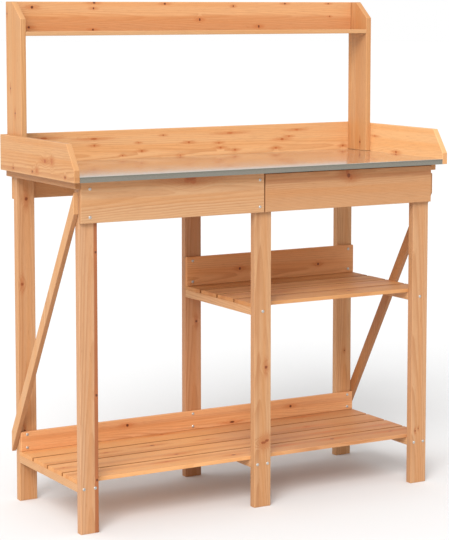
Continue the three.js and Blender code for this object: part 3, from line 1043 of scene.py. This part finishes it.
def head_places():
    """Where the bench's screw heads sit and face, from the CAD screws and the boards they hold."""
    nodes = [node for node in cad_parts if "_screw_" in node]
    places = []
    for node in nodes:
        middle = middle_of(node)
        board = BOARD_UNDER[node.rsplit("_screw_")[0]]
        places += heads_at(middle.x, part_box(board)[0].y, (middle.z,), FACING_FRONT)
    # the lower back board's screws, just aside from the middle of each back leg
    back_legs = ("leg_back_left", "leg_back_center", "leg_back_right")
    low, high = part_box("lower_back_board")
    for leg, side in zip(back_legs, (-1, -1, 1)):
        x = middle_of(leg).x + side * SHELF_SCREW_ASIDE
        heights = (low.z + SHELF_SCREW_LOW, high.z - SHELF_SCREW_HIGH)
        places += heads_at(x, low.y, heights, FACING_FRONT)
    # the rear apron's screws, into each back leg
    low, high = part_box("apron_back")
    for leg in back_legs:
        heights = (low.z + APRON_SCREW_INSET, high.z - APRON_SCREW_INSET)
        places += heads_at(middle_of(leg).x, high.y, heights, FACING_BACK)
    # through the hutch's and the backsplash's boards into the uprights
    for board, aside in (("hutch_back_board", HUTCH_SCREW_ASIDE), ("backsplash", 0)):
        low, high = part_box(board)
        for upright, inwards in (("upright_left", 1), ("upright_right", -1)):
            x = middle_of(upright).x + inwards * aside
            heights = (low.z + UPRIGHT_SCREW_INSET, high.z - UPRIGHT_SCREW_INSET)
            places += heads_at(x, high.y, heights, FACING_BACK)
    return places, nodes


def outer_faces(pair):
    """The box of each of a left and right pair, its outer face's X and the way that it faces."""
    for side, facing in (("left", -1), ("right", 1)):
        low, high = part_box(f"{pair}_{side}")
        yield low, high, low.x if facing < 0 else high.x, Vector((facing, 0, 0))


def brad_places():
    """Three brads through each side panel into the worktop board's ends."""
    places = []
    for low, high, x, facing in outer_faces("side_panel"):
        for share in BRADS_ALONG:
            y = low.y + share * (high.y - low.y)
            places += heads_at(x, y, (low.z + BRAD_RISE,), facing)
    return places


def drawer_screw_places():
    """Two countersunk screws through each end of both drawer sides."""
    places = []
    for low, high, x, facing in outer_faces("drawer_side"):
        heights = (low.z + DRAWER_SCREW_LOW, high.z - DRAWER_SCREW_HIGH)
        for y in (low.y + DRAWER_SCREW_FROM_END, high.y - DRAWER_SCREW_FROM_END):
            places += heads_at(x, y, heights, facing)
    return places


# ---------------------------------------------------------------- operators

def make_boards(boards, body="bench", copied=()):
    """One planed piece for each board of a table."""
    rounding = bpy.context.scene.bench_sizes.edge_rounding
    for node, (axes, knots) in boards.items():
        data = planed_copy(node, rounding) if node in copied else planed_board(node, rounding)
        data.materials.append(fir_material(node, axes, *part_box(node), knots))
        finish_piece(new_object(node + "_wood", data), body, [node])


class BENCH_OT_legs(bpy.types.Operator):
    """Six square legs"""

    bl_idname = "bench.legs"
    bl_label = "Legs"

    def execute(self, context):
        make_boards(LEGS)
        return {"FINISHED"}


class BENCH_OT_aprons(bpy.types.Operator):
    """Front and rear aprons and the cleats beside the legs"""

    bl_idname = "bench.aprons"
    bl_label = "Aprons and Cleats"

    def execute(self, context):
        make_boards(APRONS)
        return {"FINISHED"}


class BENCH_OT_braces(bpy.types.Operator):
    """The diagonal braces at both ends"""

    bl_idname = "bench.braces"
    bl_label = "Braces"

    def execute(self, context):
        make_boards(BRACES, copied=BRACES)
        return {"FINISHED"}


class BENCH_OT_worktop(bpy.types.Operator):
    """The worktop board and the galvanised sheet folded over its front edge"""

    bl_idname = "bench.worktop"
    bl_label = "Worktop"

    def execute(self, context):
        make_boards(WORKTOP, copied=WORKTOP)
        low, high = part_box("worktop_sheet")
        outline = folded_outline(low, high, context.scene.bench_sizes.sheet_bend)
        mesh = bmesh.new()
        left, right = ([mesh.verts.new((x, y, z)) for y, z in outline] for x in (low.x, high.x))
        for i in range(len(outline)):
            mesh.faces.new((left[i - 1], left[i], right[i], right[i - 1]))
        mesh.faces.new(left)
        mesh.faces.new(right[::-1])
        bmesh.ops.recalc_face_normals(mesh, faces=mesh.faces)
        smooth_by_angle(mesh)
        data = mesh_data("worktop_sheet_zinc", mesh)
        data.materials.append(zinc_material())
        piece = new_object("worktop_sheet_zinc", data)
        finish_piece(piece, "bench", ["worktop_sheet"])
        return {"FINISHED"}


class BENCH_OT_raised_sides(bpy.types.Operator):
    """The side panels with cut-off front corners, and the backsplash"""

    bl_idname = "bench.raised_sides"
    bl_label = "Raised Sides"

    def execute(self, context):
        make_boards(RAISED_SIDES, copied=("side_panel_left", "side_panel_right"))
        return {"FINISHED"}


class BENCH_OT_hutch(bpy.types.Operator):
    """The hutch: two uprights, a shelf and the board behind it"""

    bl_idname = "bench.hutch"
    bl_label = "Hutch"

    def execute(self, context):
        make_boards(HUTCH, copied=("upright_left", "upright_right"))
        return {"FINISHED"}


class BENCH_OT_shelf_frames(bpy.types.Operator):
    """The shelves' cross rails and back boards"""

    bl_idname = "bench.shelf_frames"
    bl_label = "Shelf Rails and Boards"

    def execute(self, context):
        make_boards(SHELF_RAILS)
        make_boards(SHELF_BOARDS)
        return {"FINISHED"}


class BENCH_OT_slats(bpy.types.Operator):
    """The slats of both shelves"""

    bl_idname = "bench.slats"
    bl_label = "Slats"

    def execute(self, context):
        tree, names = slat_tree()
        for level, knots in (("lower", LOWER_SLAT_KNOTS), ("middle", MIDDLE_SLAT_KNOTS)):
            nodes = [f"{level}_slat_{i}" for i in range(1, 5)]
            boxes = [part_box(node) for node in nodes]
            low, high = boxes[0][0], boxes[-1][1]
            size = boxes[0][1] - low
            finish = fir_material(f"{level}_slats", FLAT_X, low, high, knots, planks=True)
            start = (low.x, low.y + size.y / 2, low.z + size.z / 2)
            seed_data = bpy.data.meshes.new(level + "_slats")
            piece = grow(f"{level}_slats_wood", seed_data, tree, names, {
                "Count": len(nodes), "Start": start, "Length": size.x, "Width": size.y,
                "Thickness": size.z, "Pitch": boxes[1][0].y - low.y,
                "Rounding": context.scene.bench_sizes.slat_rounding, "Material": finish})
            finish_piece(piece, "bench", nodes)
        return {"FINISHED"}


class BENCH_OT_drawer(bpy.types.Operator):
    """The drawer's front, box and bottom, and the runners that carry it"""

    bl_idname = "bench.drawer"
    bl_label = "Drawer"

    def execute(self, context):
        make_boards(RUNNERS)
        make_boards(DRAWER, body="drawer",
                    copied=("drawer_inner_front", "drawer_side_left", "drawer_side_right"))
        data = planed_board("drawer_bottom", PLY_ROUNDING)
        data.materials.append(plywood_material(*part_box("drawer_bottom")))
        piece = new_object("drawer_bottom_ply", data)
        finish_piece(piece, "drawer", ["drawer_bottom"])
        return {"FINISHED"}


class BENCH_OT_screws(bpy.types.Operator):
    """Pan-head screws and the brads of the side panels"""

    bl_idname = "bench.screws"
    bl_label = "Screws and Brads"

    def execute(self, context):
        sizes = context.scene.bench_sizes
        pan_places, nodes = head_places()
        pan_head = (sizes.screw_head_radius, sizes.screw_head_height,
                    sizes.screw_head_radius * RECESS_SHARE)
        steel = steel_material("zinc_plated_steel", PLATED_STEEL, 0.30, 0.45)
        dark = steel_material("dull_brad_steel", BRAD_STEEL, 0.5, 0.7)
        tree, names = screw_tree()
        for name, body, replaced, places, (radius, height, recess), finish, seed in (
                ("bench_screw_heads", "bench", nodes, pan_places, pan_head, steel, 3),
                ("side_panel_brads", "bench", [], brad_places(),
                 (sizes.brad_radius, *BRAD_HEAD), dark, 5),
                ("drawer_screw_heads", "drawer", [], drawer_screw_places(),
                 COUNTERSUNK, steel, 7)):
            piece = grow(name, facing_points(name + "_places", places), tree, names, {
                "Radius": radius, "Height": height, "Recess": recess, "Seed": seed,
                "Material": finish})
            finish_piece(piece, body, replaced)
        return {"FINISHED"}


class BENCH_OT_studio(bpy.types.Operator):
    """The floor, the lights and the camera"""

    bl_idname = "bench.studio"
    bl_label = "Studio"

    def execute(self, context):
        scene = context.scene
        studio = scene.bench_studio
        mesh = bmesh.new()
        bmesh.ops.create_circle(mesh, cap_ends=True, segments=FLOOR_SIDES, radius=FLOOR_RADIUS)
        data = mesh_data("studio_floor", mesh)
        data.materials.append(floor_material())
        new_object("studio_floor", data)

        world = bpy.data.worlds.new("studio_sky")
        scene.world = world
        world.use_nodes = True
        tree = world.node_tree
        tree.nodes.clear()
        seen = add_node(tree, "ShaderNodeLightPath").outputs["Is Camera Ray"]
        strength = smooth_step(tree, seen, 0.0, 1.0, studio.sky, 1.0)
        sky = add_node(tree, "ShaderNodeBackground", Color=(1, 1, 1, 1), Strength=strength)
        output = tree.nodes.new("ShaderNodeOutputWorld")
        tree.links.new(sky.outputs[0], output.inputs["Surface"])

        for name, energy, spread, course in (
                ("key", studio.key, KEY_SPREAD, KEY_COURSE),
                ("fill", studio.fill, FILL_SPREAD, FILL_COURSE)):
            light = bpy.data.lights.new(name, "SUN")
            light.angle = spread
            light.energy = energy
            lamp = new_object(name, light)
            lamp.rotation_euler = course.to_track_quat("-Z", "Y").to_euler()

        camera = bpy.data.cameras.new("camera")
        camera.lens = studio.lens
        camera.sensor_width = SENSOR_WIDTH
        camera.shift_y = CAMERA_SHIFT
        camera.clip_end = FAR_CLIP
        holder = new_object("camera", camera)
        holder.location = CAMERA_PLACE
        holder.rotation_euler = (math.pi / 2 - studio.tilt, 0, -studio.heading)
        scene.camera = holder
        scene.view_settings.view_transform = "Standard"
        return {"FINISHED"}


class BENCH_PT_panel(bpy.types.Panel):
    """Lists the bench's sizes, colours and making steps"""

    bl_idname = "BENCH_PT_panel"
    bl_label = "Potting Bench"
    bl_space_type = "VIEW_3D"
    bl_region_type = "UI"
    bl_category = "Potting Bench"

    def draw(self, context):
        layout = self.layout
        for pointer, group in SETTINGS.items():
            for name in group.__annotations__:
                layout.prop(getattr(context.scene, pointer), name)
        for operator in MAKERS:
            layout.operator(operator.bl_idname)


SETTINGS = {
    "bench_sizes": BenchSizes,
    "bench_colours": BenchColours,
    "bench_studio": StudioSettings,
}
MAKERS = (
    BENCH_OT_legs,
    BENCH_OT_aprons,
    BENCH_OT_braces,
    BENCH_OT_worktop,
    BENCH_OT_raised_sides,
    BENCH_OT_hutch,
    BENCH_OT_shelf_frames,
    BENCH_OT_slats,
    BENCH_OT_drawer,
    BENCH_OT_screws,
    BENCH_OT_studio,
)
CLASSES = (*SETTINGS.values(), *MAKERS, BENCH_PT_panel)


def register():
    for item in CLASSES:
        bpy.utils.register_class(item)
    for pointer, group in SETTINGS.items():
        setattr(bpy.types.Scene, pointer, PointerProperty(type=group))


def unregister():
    for pointer in SETTINGS:
        delattr(bpy.types.Scene, pointer)
    for item in reversed(CLASSES):
        bpy.utils.unregister_class(item)


def main():
    """Registers the add-on and makes every piece in order."""
    register()
    for operator in MAKERS:
        group, name = operator.bl_idname.split(".")
        getattr(getattr(bpy.ops, group), name)()


if __name__ == "__main__":
    main()
